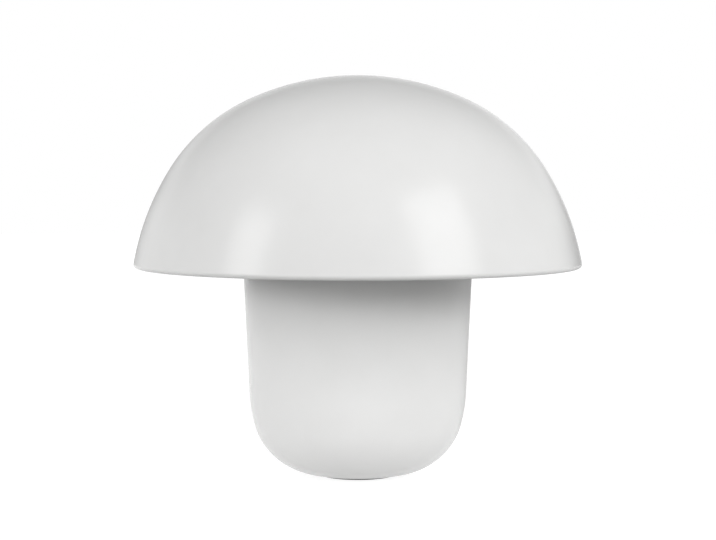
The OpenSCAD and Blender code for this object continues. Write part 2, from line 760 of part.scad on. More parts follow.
// Filled half outline of the glass, its skin d in from the outside
module glass_outline(d) {
    join = [0, globe_z] + (globe_r - d) * unit([curve_x, curve_z - globe_z]);
    intersection() {
        translate([0, globe_z]) circle(globe_r - d);
        translate([0, join[1]]) square(far);
    }
    difference() {
        polygon([[0, collar_z], [neck_r - d, collar_z], [neck_r - d, curve_z], [globe_r, curve_z],
                 join, [0, join[1]]]);
        translate([curve_x, curve_z]) circle(neck_curve + d);
    }
}

// Blown globe with a long neck
module bulb_glass() {
    color([0.85, 0.92, 0.95, 0.4]) rotate_extrude() difference() {
        glass_outline(0);
        glass_outline(glass_t);
        translate([0, collar_z - 1]) square([neck_r - glass_t, 3]);
    }
}

// Brass E27 cap, its thread drawn as rounded rings
module bulb_cap() {
    low = bulb_z + contact_cap_h + insulator_h;
    crest = 1.2;
    color(brass) rotate_extrude() difference() {
        union() {
            polygon([[0, low], [cap_root_r - 1.2, low], [cap_root_r, low + 1.2], [cap_root_r, collar_z - 1.2],
                     [neck_r + 0.1 + cap_t, collar_z], [neck_r + 0.1 + cap_t, collar_z + collar_h],
                     [0, collar_z + collar_h]]);
            for (k = [0:thread_turns - 1])
                translate([cap_thread_d / 2 - crest, thread_z + (k + 0.7) * thread_pitch]) circle(crest);
        }
        translate([-1, low - 1]) square([1 + cap_root_r - 2, 3]);
        polygon([[-1, low + 1], [cap_root_r - 1.6, low + 1], [cap_root_r - cap_t, low + 2.2],
                 [cap_root_r - cap_t, collar_z - 1.2], [neck_r + 0.1, collar_z - 0.1],
                 [neck_r + 0.1, far], [-1, far]]);
    }
}

// Black glass between the cap and the centre contact
module bulb_insulator() {
    low = bulb_z + contact_cap_h;
    color("black") rotate_extrude() polygon([
        [0, low], [contact_r + 1, low], [cap_root_r - 2.2, low + insulator_h - 1],
        [cap_root_r - 2.2, low + insulator_h + 1], [0, low + insulator_h + 1]]);
}

// Domed solder contact at the foot of the bulb
module bulb_contact() {
    dome_r = 12;
    color("gainsboro") intersection() {
        translate([0, 0, bulb_z + dome_r]) sphere(r = dome_r);
        translate([0, 0, bulb_z]) cylinder(r = contact_r, h = contact_cap_h);
    }
}

// Glass stem fused to the neck
module bulb_stem() {
    foot = neck_r - glass_t - weld;
    color([0.85, 0.92, 0.95, 0.5]) rotate_extrude() difference() {
        polygon([[0, stem_z], [foot, stem_z], [foot, stem_z + 1.5], [4, stem_z + 12], [3, stem_top - 4],
                 [2.2, stem_top], [0, stem_top]]);
        polygon([[-1, stem_z - 1], [foot - 1.2, stem_z - 1], [2, stem_z + 11], [-1, stem_z + 11]]);
    }
}

// Rods of filament standing in a cone round the post
module bulb_filaments() {
    lean = asin((fil_high_r - fil_low_r) / filament_l);
    color("khaki") for (k = [0:filament_count - 1]) rotate([0, 0, 360 * k / filament_count])
        translate([fil_low_r, 0, fil_z]) rotate([0, lean, 0]) cylinder(d = fil_d, h = filament_l);
}

// Post with a spoke to each end of each filament
module bulb_supports() {
    lean = asin((fil_high_r - fil_low_r) / filament_l);
    rise = filament_l * cos(lean);
    color(steel) {
        translate([0, 0, stem_top + weld]) cylinder(d = post_d, h = fil_z + rise + 1 - stem_top);
        for (k = [0:filament_count - 1]) rotate([0, 0, 360 * k / filament_count]) {
            translate([0, 0, fil_z - 0.6]) rotate([0, 90, 0]) cylinder(d = 0.8, h = fil_low_r);
            translate([0, 0, fil_z + rise + 0.8]) rotate([0, 90, 0]) cylinder(d = 0.8, h = fil_high_r);
        }
    }
}

shade_dome();
shade_seat_ring();
shade_tabs();
shade_carrier();
carrier_pads();
carrier_nuts();
base_shell();
base_deck();
deck_brackets();
deck_screws();
ballast();
ballast_bolt();
ballast_washer();
ballast_nut();
foot_felt();
cord_bush();
holder_nipple();
nipple_nut();
nipple_washer();
holder_cap();
holder_skirt();
holder_core();
holder_shell();
holder_contact();
holder_screws();
terminal_block();
terminal_screws();
block_screw();
earth_screw();
earth_nut();
earth_tag();
live_lead();
neutral_lead();
earth_lead();
bulb_glass();
bulb_cap();
bulb_insulator();
bulb_contact();
bulb_stem();
bulb_filaments();
bulb_supports();
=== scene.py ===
"""A white mushroom table lamp: a spun dome on a wire carrier over a weighted bowl, seen from the front.

Metres, in the lamp's own frame: +Z up, the front is -Y, the origin under the middle of the foot. The
sections go from the shade down to the foot, and then from the lampholder and its leads to the bulb.
"""

import math

import bmesh
import bpy
import numpy as np
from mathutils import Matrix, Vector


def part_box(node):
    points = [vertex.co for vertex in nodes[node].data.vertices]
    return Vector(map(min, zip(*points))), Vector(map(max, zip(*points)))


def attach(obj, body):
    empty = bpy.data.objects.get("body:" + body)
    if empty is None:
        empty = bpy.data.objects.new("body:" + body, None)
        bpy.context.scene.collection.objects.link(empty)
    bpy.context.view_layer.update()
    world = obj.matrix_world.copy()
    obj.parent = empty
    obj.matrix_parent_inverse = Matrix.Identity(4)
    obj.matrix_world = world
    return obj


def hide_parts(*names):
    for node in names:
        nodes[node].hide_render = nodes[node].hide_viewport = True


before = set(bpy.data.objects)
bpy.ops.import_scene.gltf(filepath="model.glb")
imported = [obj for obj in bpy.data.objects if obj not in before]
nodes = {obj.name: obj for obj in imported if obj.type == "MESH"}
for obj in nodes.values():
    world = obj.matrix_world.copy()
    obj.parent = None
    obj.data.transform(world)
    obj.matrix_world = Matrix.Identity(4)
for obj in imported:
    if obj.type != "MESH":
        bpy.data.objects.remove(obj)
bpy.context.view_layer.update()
scene = bpy.context.scene
scene.view_settings.view_transform = "Standard"

# Camera. It stands two metres in front of the lamp and a little above the rim, and looks slightly down,
# with a long lens that leaves a margin of white round the dome.
photo_w, sensor_w = 716, 0.036
focal_px = 2030
eye = (0.0002, -2.0, 0.319)
look_down = math.radians(3.325)

camera = bpy.data.objects.new("camera", bpy.data.cameras.new("camera"))
scene.collection.objects.link(camera)
camera.data.sensor_width = sensor_w * 1000
camera.data.lens = focal_px / photo_w * sensor_w * 1000
camera.location = eye
camera.rotation_euler = (math.pi / 2 - look_down, 0, 0)
camera.data.clip_start, camera.data.clip_end = 0.01, 100
scene.camera = camera

# Floor, backdrop and lamps. A round white table in front of white paper, in a room that is pale grey to the
# front. The light comes from the sides: pale walls with a bright strip low on them that rises to the right,
# and two tall diffusers. Two grey cards behind the lamp, seen only by gloss and glass, darken its edges.


def add(tree, kind, inputs=None, **settings):
    """A new shader node with these settings; an input takes either a constant or another node's output."""
    made = tree.nodes.new("ShaderNode" + kind)
    for key, value in settings.items():
        setattr(made, key, value)
    for key, value in (inputs or {}).items():
        if isinstance(value, bpy.types.NodeSocket):
            tree.links.new(value, made.inputs[key])
        else:
            made.inputs[key].default_value = value
    return made


def seen_by_eye_or_gloss(tree):
    """1 for rays from the camera and rays mirrored by gloss or bent by glass, 0 for light that scatters."""
    path = add(tree, "LightPath")
    gloss = add(tree, "Math", {0: path.outputs["Is Camera Ray"], 1: path.outputs["Is Glossy Ray"]},
                operation="MAXIMUM")
    glass = add(tree, "Math", {0: gloss.outputs[0], 1: path.outputs["Is Transmission Ray"]},
                operation="MAXIMUM")
    return glass.outputs[0]


def slope_between(tree, value, start, end, low, high):
    """Goes smoothly from low to high as the value goes from start to end."""
    return add(tree, "MapRange", {"Value": value, "From Min": start, "From Max": end, "To Min": low,
                                  "To Max": high}, interpolation_type="SMOOTHSTEP").outputs[0]


def card(tree, turn, edges, shade):
    """A grey card that only gloss and glass see. As the angle from straight behind the lamp grows, the
    light falls from 1 to the card's shade between the first two of its edges, in degrees, and is back at 1
    between the last two."""
    near, dim, dim_end, far = (math.radians(edge) for edge in edges)
    falling = slope_between(tree, turn, near, dim, 1, shade)
    rising = slope_between(tree, turn, dim_end, far, shade, 1)
    return add(tree, "Math", {0: falling, 1: rising}, operation="MAXIMUM").outputs[0]


# A place on the walls is the Y or Z of a direction of length 1, and on the table metres from its middle.
wall_light, wall_top, wall_fade = 0.6, 0.71, 0.1
strip_from, strip_to, strip_fade, strip_rise = 0.156, 0.375, 0.07, 0.10
strip_front, strip_back, strip_front_y, strip_back_y = 2.2, 1.2, -0.8, 0.4
paper_top, paper_over, paper_dim = 0.15, 0.45, 0.3
front_from, front_to, room_grey, floor_grey = 0, -0.5, 0.72, 0.55
right_card, left_card = (12, 20, 28, 62), (-8, -12, -14, -40)
right_shade, left_shade, floor_shade = 0.1, 0.35, 0.5
card_top, card_over = 0.02, 0.28
floor_r = 6.0
table_pale, table_dark, dark_from, dark_to, table_seen = 0.72, 0.15, 0.25, 0.50, 0.2
table_glow, white_from, white_to = 0.92, 0.5, 1.6
grey_from, grey_to = 0.9, 1.9

world = bpy.data.worlds.new("paper")
scene.world = world
world.use_nodes = True
tree = world.node_tree
tree.nodes.clear()
way = add(tree, "SeparateXYZ", {0: add(tree, "TexCoord").outputs["Generated"]})
right, behind, up = (way.outputs[axis] for axis in "XYZ")
level = add(tree, "Math", {0: right, 1: -strip_rise, 2: up}, operation="MULTIPLY_ADD").outputs[0]
strip_low = slope_between(tree, level, strip_from - strip_fade, strip_from + strip_fade, 0, 1)
strip_high = slope_between(tree, level, strip_to - strip_fade, strip_to + strip_fade, 1, 0)
strip = add(tree, "Math", {0: strip_low, 1: strip_high}, operation="MULTIPLY")
strip_light = slope_between(tree, behind, strip_front_y, strip_back_y, strip_front, strip_back)
plain = slope_between(tree, up, wall_top - wall_fade, wall_top + wall_fade, wall_light, 0)
wall = add(tree, "Math", {0: strip.outputs[0], 1: strip_light, 2: plain}, operation="MULTIPLY_ADD")
turn = add(tree, "Math", {0: right, 1: behind}, operation="ARCTAN2").outputs[0]
cards = add(tree, "Math", {0: card(tree, turn, right_card, right_shade),
                           1: card(tree, turn, left_card, left_shade)}, operation="MULTIPLY")
low_cards = add(tree, "Math", {0: slope_between(tree, up, card_top, card_over, 0, 1), 1: cards.outputs[0]},
                operation="MAXIMUM")
mirrored = add(tree, "Math", {0: slope_between(tree, up, paper_top, paper_over, 1, paper_dim),
                              1: low_cards.outputs[0]}, operation="MULTIPLY")
sweep = add(tree, "Math", {0: mirrored.outputs[0], 1: add(tree, "LightPath").outputs["Is Camera Ray"]},
            operation="MAXIMUM")
room = slope_between(tree, behind, front_from, front_to, 1, room_grey)
paper = add(tree, "Math", {0: sweep.outputs[0], 1: room}, operation="MULTIPLY")
fill = add(tree, "Background", {"Color": (1, 1, 1, 1), "Strength": wall.outputs[0]})
sheet = add(tree, "Background", {"Color": (1, 1, 1, 1), "Strength": paper.outputs[0]})
either = add(tree, "MixShader", {0: seen_by_eye_or_gloss(tree), 1: fill.outputs[0], 2: sheet.outputs[0]})
add(tree, "OutputWorld", {"Surface": either.outputs[0]})

bpy.ops.mesh.primitive_circle_add(vertices=96, radius=floor_r, fill_type="NGON", location=(0, 0, 0))
floor = bpy.context.object
floor.name = "floor"
table_top = bpy.data.materials.new("table_top")
table_top.use_nodes = True
tree = table_top.node_tree
tree.nodes.clear()
place = add(tree, "TexCoord").outputs["Object"]
reach = add(tree, "VectorMath", {0: place}, operation="LENGTH").outputs["Value"]
seen = seen_by_eye_or_gloss(tree)
apart = add(tree, "SeparateXYZ", {0: place})
ahead = add(tree, "Math", {0: apart.outputs["Y"], 1: reach}, operation="DIVIDE").outputs[0]
room = add(tree, "Mix", {"Factor": slope_between(tree, reach, grey_from, grey_to, 1, 0),
                         "A": slope_between(tree, ahead, front_from, front_to, 1, floor_grey), "B": 1.0})
spot = add(tree, "Math", {0: slope_between(tree, reach, white_from, white_to, table_glow, 1.0),
                          1: room.outputs["Result"]}, operation="MULTIPLY")
turn = add(tree, "Math", {0: apart.outputs["X"], 1: apart.outputs["Y"]}, operation="ARCTAN2").outputs[0]
mirrored = add(tree, "Math", {0: card(tree, turn, right_card, floor_shade),
                              1: add(tree, "LightPath").outputs["Is Camera Ray"]}, operation="MAXIMUM")
shown = add(tree, "Math", {0: spot.outputs[0], 1: mirrored.outputs[0]}, operation="MULTIPLY")
glow = add(tree, "Math", {0: shown.outputs[0], 1: seen}, operation="MULTIPLY")
white = add(tree, "Mix", {"Factor": seen, "B": table_seen,
                          "A": slope_between(tree, reach, dark_from, dark_to, table_pale, table_dark)})
matt = add(tree, "BsdfDiffuse", {"Color": white.outputs["Result"]})
light = add(tree, "Emission", {"Color": (1, 1, 1, 1), "Strength": glow.outputs[0]})
both = add(tree, "AddShader", {0: matt.outputs[0], 1: light.outputs[0]})
add(tree, "OutputMaterial", {"Surface": both.outputs[0]})
floor.data.materials.append(table_top)


def diffuser(name, azimuth, elevation, width, height, brightness=3.1, distance=1.6, aim_z=0.25):
    """A rectangular lamp that faces the dome from azimuth degrees right of the front and elevation degrees
    up. Its power is brightness times pi times its area, which makes its face that bright."""
    lamp = bpy.data.lights.new(name, "AREA")
    lamp.shape = "RECTANGLE"
    lamp.size, lamp.size_y = width, height
    lamp.energy = brightness * math.pi * width * height
    holder = bpy.data.objects.new(name, lamp)
    scene.collection.objects.link(holder)
    a, e = math.radians(azimuth), math.radians(elevation)
    away = np.array([math.sin(a) * math.cos(e), -math.cos(a) * math.cos(e), math.sin(e)])
    holder.location = np.array([0, 0, aim_z]) + distance * away
    holder.rotation_euler = (math.pi / 2 - e, 0, a)


diffuser("right_diffuser", azimuth=45, elevation=26, width=0.82, height=1.15)
diffuser("left_diffuser", azimuth=-56, elevation=18, width=0.54, height=0.95)

# Shade. A dome spun from one sheet of steel, 1.2 mm thick, its edge rolled inwards into a small bead, and
# enamelled white inside and out. Three arcs make its outline: crown, shoulder and skirt.
sheet_t = 0.0012
crown_r, crown_slope = 0.256, 24.5
shoulder_slope = 58.0
skirt_r, skirt_slope = 0.260, 79.8
bead_r, bead_turn = 0.004, 235.0
shade_r, apex_z = 0.220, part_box("shade_dome")[1].z


def along(slope):
    """Unit vector (r, z) at a slope in degrees, measured clockwise from straight up."""
    return np.array([math.sin(math.radians(slope)), math.cos(math.radians(slope))])


def arc(centre, radius, start, end, step=1.0):
    """Points on a circle: centre plus radius times (sin s, cos s), for slopes s from start to end that lie
    at most step degrees apart."""
    count = max(2, int(math.ceil(abs(end - start) / step)) + 1)
    s = np.radians(np.linspace(start, end, count))
    return np.asarray(centre) + radius * np.stack([np.sin(s), np.cos(s)], 1)


def put(name, points, faces, smooth_under=35):
    """A new mesh from points and quads, with doubles merged, degenerate quads closed to triangles, normals
    facing out, and every edge sharp that bends by more than smooth_under degrees."""
    mesh = bpy.data.meshes.new(name)
    mesh.from_pydata(points.reshape(-1, 3).tolist(), [], faces.reshape(-1, faces.shape[-1]).tolist())
    work = bmesh.new()
    work.from_mesh(mesh)
    bmesh.ops.remove_doubles(work, verts=work.verts, dist=1e-7)
    bmesh.ops.recalc_face_normals(work, faces=work.faces)
    work.to_mesh(mesh)
    work.free()
    mesh.shade_smooth()
    mesh.set_sharp_from_angle(angle=math.radians(smooth_under))
    piece = bpy.data.objects.new(name, mesh)
    scene.collection.objects.link(piece)
    return piece


def grid_faces(rows, columns, closed_rows=False):
    """Quads of a grid whose columns close on themselves, as its rows do where closed_rows says so."""
    i = np.arange(rows if closed_rows else rows - 1)[:, None]
    j = np.arange(columns)[None, :]
    i2, j2 = (i + 1) % rows, (j + 1) % columns
    return np.stack([i * columns + j, i2 * columns + j, i2 * columns + j2, i * columns + j2], -1)


def spun(outline, segments):
    """Points of revolution: the outline's point (r, z) goes to (r cos a, r sin a, z) for even angles a."""
    r, z = np.asarray(outline).T
    a = np.linspace(0, 2 * math.pi, segments, endpoint=False)
    return np.stack([np.outer(r, np.cos(a)), np.outer(r, np.sin(a)), np.outer(z, np.ones(segments))], -1)


def turned(name, outline, segments=256, **shading):
    """A surface of revolution. An outline that leaves the axis at both ends is closed on itself."""
    ring = outline[0][0] > 1e-9 and outline[-1][0] > 1e-9
    return put(name, spun(outline, segments), grid_faces(len(outline), segments, ring), **shading)


def shader(name, **constants):
    """A material with its Principled shader, and the constants on the shader's own sockets."""
    material = bpy.data.materials.new(name)
    material.use_nodes = True
    principled = material.node_tree.nodes["Principled BSDF"]
    for key, value in constants.items():
        principled.inputs[key.replace("_", " ")].default_value = value
    return material, material.node_tree, principled


def speckle(tree, size, detail=3.0, stretch=(1, 1, 1), distortion=0.0):
    """Noise from 0 to 1 whose patches are about size metres wide, drawn out by stretch along each axis."""
    place = add(tree, "TexCoord")
    scaled = add(tree, "Mapping", {"Vector": place.outputs["Object"], "Scale": stretch})
    noise = add(tree, "TexNoise", {"Vector": scaled.outputs[0], "Scale": 1 / size, "Detail": detail,
                                   "Distortion": distortion})
    return noise.outputs["Fac"]


def spread(tree, value, low, high, start=0.3, end=0.7):
    """The value's share of the way from start to end, laid out from low to high."""
    return add(tree, "MapRange", {"Value": value, "From Min": start, "From Max": end,
                                  "To Min": low, "To Max": high}).outputs[0]


def tint(tree, value, *colours, start=0.3, end=0.7):
    """A colour ramp with these colours evenly spaced from start to end of the value."""
    ramp = add(tree, "ValToRGB", {"Fac": value})
    stops = ramp.color_ramp.elements
    while len(stops) < len(colours):
        stops.new(0.5)
    for k, colour in enumerate(colours):
        stops[k].position = start + (end - start) * k / (len(colours) - 1)
        stops[k].color = (*colour, 1)
    return ramp.outputs["Color"]


def raise_by(tree, principled, height, depth, under=None):
    """A bump of depth metres from the height, on top of another bump where there is one."""
    inputs = {"Height": height, "Distance": depth, "Strength": 1.0}
    if under is not None:
        inputs["Normal"] = under
    bump = add(tree, "Bump", inputs)
    tree.links.new(bump.outputs["Normal"], principled.inputs["Normal"])
    return bump.outputs["Normal"]


def enamel():
    """Sprayed and baked white enamel: a faint orange peel, under it the ghost of the spinning rings, about
    2.4 mm apart, and slight drifts of white and gloss."""
    material, tree, principled = shader("white_enamel", IOR=1.5)
    tree.links.new(tint(tree, speckle(tree, 0.05), (0.800, 0.800, 0.793), (0.818, 0.818, 0.812)),
                   principled.inputs["Base Color"])
    tree.links.new(spread(tree, speckle(tree, 0.02), 0.20, 0.26), principled.inputs["Roughness"])
    place = add(tree, "TexCoord")
    rings = add(tree, "TexWave", {"Vector": place.outputs["Object"], "Scale": 130.0, "Distortion": 1.5,
                                  "Detail": 1.0}, wave_type="RINGS", rings_direction="Z")
    turning = raise_by(tree, principled, rings.outputs["Fac"], 0.0000006)
    raise_by(tree, principled, speckle(tree, 0.0022, detail=2.0), 0.000010, under=turning)
    return material


white_enamel = enamel()


def dress(material, *names):
    """Gives the finish to CAD nodes whose shape is right as it is."""
    for name in names:
        for held in nodes[name].material_slots:
            held.material = material


def dome_skin(depth):
    """The dome's outline, depth in from the outside, from the apex to the end of the rolled edge. The
    shoulder's radius is what is left of the width once crown, skirt and bead have theirs."""
    bead_out = bead_r * (1 - along(skirt_slope)[0])
    shoulder_r = (shade_r - bead_out - crown_r * along(crown_slope)[0]
                  - skirt_r * (along(skirt_slope)[0] - along(shoulder_slope)[0])) \
        / (along(shoulder_slope)[0] - along(crown_slope)[0])
    crown_c = np.array([0, apex_z - crown_r])
    shoulder_c = crown_c + (crown_r - shoulder_r) * along(crown_slope)
    skirt_c = shoulder_c + (shoulder_r - skirt_r) * along(shoulder_slope)
    bead_c = skirt_c + (skirt_r - bead_r) * along(skirt_slope)
    return np.concatenate([
        arc(crown_c, crown_r - depth, 0, crown_slope)[:-1],
        arc(shoulder_c, shoulder_r - depth, crown_slope, shoulder_slope)[:-1],
        arc(skirt_c, skirt_r - depth, shoulder_slope, skirt_slope)[:-1],
        arc(bead_c, bead_r - depth, skirt_slope, skirt_slope + bead_turn, step=6)])


dome = turned("shade", np.concatenate([dome_skin(0), dome_skin(sheet_t)[::-1]]))
dome.data.materials.append(white_enamel)
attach(dome, "shade")
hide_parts("shade_dome")

# Seat ring and tabs. A flat ring with a turned-down lip, and three bent tabs spot-welded between it and the
# crown: steel sheet, enamelled together with the dome.
dress(white_enamel, "shade_seat_ring", "shade_tabs")

# Carrier. A ring of 4 mm wire welded to three legs that stand in the deck between two nuts each, enamelled.
# Soft sleeves on the ring carry the shade. Every nut, washer and screw of the lamp but the earth's is
# zinc-plated and passivated, which leaves a bluish grey with a straw-coloured bloom.
groove_depth = 0.3


def helix(tree, pitch, radius, lean=0.5):
    """Height from 0 to 0.5 and back once a pitch, along z / pitch - angle / 2 pi, within a radius of the Z
    axis and on faces whose normal leans up or down by less than lean."""
    place = add(tree, "SeparateXYZ", {0: add(tree, "TexCoord").outputs["Object"]})
    angle = add(tree, "Math", {0: place.outputs["Y"], 1: place.outputs["X"]}, operation="ARCTAN2")
    rise = add(tree, "Math", {0: place.outputs["Z"], 1: 1 / pitch}, operation="MULTIPLY")
    turns = add(tree, "Math", {0: angle.outputs[0], 1: -0.5 / math.pi, 2: rise.outputs[0]},
                operation="MULTIPLY_ADD")
    wave = add(tree, "Math", {0: turns.outputs[0], 1: 0.5}, operation="PINGPONG")
    flat = add(tree, "CombineXYZ", {0: place.outputs["X"], 1: place.outputs["Y"]})
    reach = add(tree, "VectorMath", {0: flat.outputs[0]}, operation="LENGTH")
    near = add(tree, "Math", {0: reach.outputs["Value"], 1: radius}, operation="LESS_THAN")
    normal = add(tree, "SeparateXYZ", {0: add(tree, "TexCoord").outputs["Normal"]})
    upright = add(tree, "Math", {0: normal.outputs["Z"], 1: 0.0, 2: lean}, operation="COMPARE")
    both = add(tree, "Math", {0: near.outputs[0], 1: upright.outputs[0]}, operation="MULTIPLY")
    return add(tree, "Math", {0: wave.outputs[0], 1: both.outputs[0]}, operation="MULTIPLY").outputs[0]


def plated_steel(name, thread=None):
    """Zinc plate: small crystals, a drifting passivation tint and, where thread is (pitch, radius), the
    grooves of a right-hand thread, groove_depth times its pitch deep, within that radius of the Z axis."""
    material, tree, principled = shader(name, Metallic=1.0)
    bloom = tint(tree, speckle(tree, 0.004), (0.56, 0.58, 0.60), (0.63, 0.64, 0.64), (0.64, 0.61, 0.53))
    tree.links.new(bloom, principled.inputs["Base Color"])
    tree.links.new(spread(tree, speckle(tree, 0.0008), 0.28, 0.42), principled.inputs["Roughness"])
    grain = raise_by(tree, principled, speckle(tree, 0.0003), 0.000004)
    if thread:
        raise_by(tree, principled, helix(tree, *thread), 2 * groove_depth * thread[0], under=grain)
    return material


def soft(name, pale, deep, low=0.45, high=0.6, grain=0.0004, depth=0.00001, **constants):
    """A moulded plastic or rubber: its colour drifts between two shades, its gloss between low and high,
    and its skin has a fine grain."""
    material, tree, principled = shader(name, **constants)
    tree.links.new(tint(tree, speckle(tree, 0.006), deep, pale), principled.inputs["Base Color"])
    tree.links.new(spread(tree, speckle(tree, 0.002), low, high), principled.inputs["Roughness"])
    raise_by(tree, principled, speckle(tree, grain), depth)
    return material


zinc = plated_steel("plated_steel")
silicone = soft("silicone", (0.60, 0.61, 0.60), (0.52, 0.53, 0.53), Subsurface_Weight=0.25,
                Subsurface_Radius=(0.003, 0.003, 0.003), Subsurface_Scale=1.0)
dress(white_enamel, "shade_carrier")
dress(silicone, "carrier_pads")
dress(zinc, "carrier_nuts")

# Base shell. A bowl spun from one sheet of steel with its mouth rolled inwards, a dish pressed up under the
# foot round the ballast's bolt, and a round hole for the cord low at the back. Enamelled like the dome.
foot_z, dish_z, dish_r, dish_foot_r = 0.002, 0.009, 0.019, 0.021
bolt_hole_r = 0.0044
wall_taper, corner_slope = 2.7, 105.0
corner_r, haunch_r = 0.066, 0.150
hem_r, hem_turn = 0.003, 235.0
hole_slope, hole_r = 110.0, 0.006
mouth_r, mouth_z = 0.1135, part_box("base_shell")[1].z


def bowl_skin(depth):
    """The bowl's outline, depth in from the outside, from the bolt hole to the end of the rolled mouth. The
    foot's radius is what is left of the width under the wall, once haunch and corner have theirs."""
    wall_slope = 90 + wall_taper
    hem_c = np.array([mouth_r, mouth_z]) - hem_r
    wall_z = foot_z + corner_r * (1 + along(corner_slope)[1]) \
        + haunch_r * (along(wall_slope)[1] - along(corner_slope)[1])
    wall_r = hem_c[0] + (wall_z - hem_c[1]) * math.tan(math.radians(wall_taper)) \
        + hem_r / math.cos(math.radians(wall_taper))
    foot_r = wall_r - haunch_r * (along(wall_slope)[0] - along(corner_slope)[0]) \
        - corner_r * along(corner_slope)[0]
    corner_c = np.array([foot_r, foot_z + corner_r])
    haunch_c = corner_c - (haunch_r - corner_r) * along(corner_slope)
    dish = [(bolt_hole_r, dish_z + depth), (dish_r + depth, dish_z + depth),
            (dish_foot_r + depth, foot_z + depth)]
    return np.concatenate([
        dish,
        arc(corner_c, corner_r - depth, 180, corner_slope)[:-1],
        arc(haunch_c, haunch_r - depth, corner_slope, wall_slope, step=0.5),
        arc(hem_c, hem_r - depth, wall_slope, wall_slope - hem_turn, step=6)])


def pierced(name, outer, inner, segments, middle, hole_r, rows=9, columns=4, rings=5):
    """A turned sheet of two skins with a round hole at azimuth 90 degrees, at the outer skin's row middle.
    Rows by columns of quads each side of the hole make way for rings of quads that blend, in length along
    the outline and angle round the axis, from the window's square edge to the circle; a wall joins the two
    skins."""
    count = len(outer)
    grid = np.concatenate([spun(outer, segments), spun(inner[::-1], segments)])
    faces = grid_faces(2 * count, segments, True)
    across = segments // 4
    kept = np.ones(faces.shape[:2], bool)
    for row in (middle, 2 * count - 1 - middle):
        kept[row - rows:row + rows, across - columns:across + columns] = False
    faces = faces[kept]
    up = np.concatenate([np.full(2 * columns, -rows), np.arange(-rows, rows),
                         np.full(2 * columns, rows), np.arange(rows, -rows, -1)])
    round_ = np.concatenate([np.arange(-columns, columns), np.full(2 * rows, columns),
                             np.arange(columns, -columns, -1), np.full(2 * rows, -columns)])
    edge = len(up)
    points = [grid.reshape(-1, 3)]
    starts = []
    for skin in (outer, inner):
        run = np.concatenate([[0], np.cumsum(np.linalg.norm(np.diff(skin, axis=0), axis=1))])
        step = 2 * math.pi / segments
        radius = skin[middle][0]
        window = np.stack([run[middle + up] - run[middle], round_ * step * radius], 1)
        circle = hole_r * window / np.linalg.norm(window, axis=1)[:, None]
        share = np.linspace(0, 1, rings + 1)[:, None, None]
        flat = window * (1 - share) + circle * share
        s, a = run[middle] + flat[..., 0], math.pi / 2 + flat[..., 1] / radius
        r, z = np.interp(s, run, skin[:, 0]), np.interp(s, run, skin[:, 1])
        starts.append(sum(len(p) for p in points))
        points.append(np.stack([r * np.cos(a), r * np.sin(a), z], -1).reshape(-1, 3))
    patch = grid_faces(rings + 1, edge).reshape(-1, 4)
    k = np.arange(edge)
    rim = rings * edge
    wall = np.stack([starts[0] + rim + k, starts[0] + rim + (k + 1) % edge,
                     starts[1] + rim + (k + 1) % edge, starts[1] + rim + k], 1)
    faces = np.concatenate([faces, patch + starts[0], patch + starts[1], wall])
    return put(name, np.concatenate(points), faces)


# The outline has three points in the dish, and then one a degree round the corner.
hole_row = 3 + int(round(180 - hole_slope))
base = pierced("base", bowl_skin(0), bowl_skin(sheet_t), segments=288, middle=hole_row, hole_r=hole_r)
base.data.materials.append(white_enamel)
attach(base, "base")
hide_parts("base_shell")

# Deck. A pressed plate that closes the mouth, held by three plated pan-head screws on three angles that are
# welded inside the bowl. Plate and angles are enamelled like the bowl.
dress(white_enamel, "base_deck", "deck_brackets")
dress(zinc, "deck_screws")

# Ballast. A disc of grey iron, cast in sand and painted black, drawn down in the foot by a plated bolt with
# a hexagon socket, a washer and a nut.
bolt_pitch, bolt_shank_r = 0.00125, 0.0042


def cast_iron():
    """Black paint over a sand-cast skin: coarse grains, shallow pits, and dull and shiny patches."""
    material, tree, principled = shader("iron", IOR=1.5)
    patches = speckle(tree, 0.012, detail=6.0)
    tree.links.new(tint(tree, patches, (0.018, 0.018, 0.019), (0.045, 0.044, 0.042), (0.060, 0.050, 0.042)),
                   principled.inputs["Base Color"])
    tree.links.new(spread(tree, speckle(tree, 0.006), 0.5, 0.85), principled.inputs["Roughness"])
    sand = raise_by(tree, principled, speckle(tree, 0.0012, detail=4.0), 0.00025)
    raise_by(tree, principled, speckle(tree, 0.009), 0.0004, under=sand)
    return material


dress(cast_iron(), "ballast")
dress(zinc, "ballast_washer", "ballast_nut")
dress(plated_steel("threaded_bolt", thread=(bolt_pitch, bolt_shank_r)), "ballast_bolt")

# Foot. A ring of grey wool felt, die-cut and glued under the flat of the bowl, so that the lamp doesn't
# scratch what it stands on.


def wool_felt():
    """Matted wool: short fibres that lie across each other in two directions, over a soft uneven pile."""
    material, tree, principled = shader("felt", Roughness=0.95, Sheen_Weight=0.5, Sheen_Roughness=0.5)
    one = speckle(tree, 0.0009, detail=4.0, stretch=(1, 5, 2), distortion=1.5)
    other = speckle(tree, 0.0009, detail=4.0, stretch=(5, 1, 2), distortion=1.5)
    fibres = add(tree, "Math", {0: one, 1: other}, operation="MAXIMUM").outputs[0]
    tree.links.new(tint(tree, fibres, (0.17, 0.17, 0.17), (0.28, 0.28, 0.275), (0.44, 0.44, 0.43),
                        start=0.4, end=0.75), principled.inputs["Base Color"])
    raise_by(tree, principled, fibres, 0.0003)
    return material


dress(wool_felt(), "foot_felt")

# Cord outlet. A soft bush in the hole low at the back, snapped in by its inner flange, in the white of the
# cord that belongs in it.
dress(soft("bush_rubber", (0.74, 0.74, 0.72), (0.68, 0.68, 0.66)), "cord_bush")

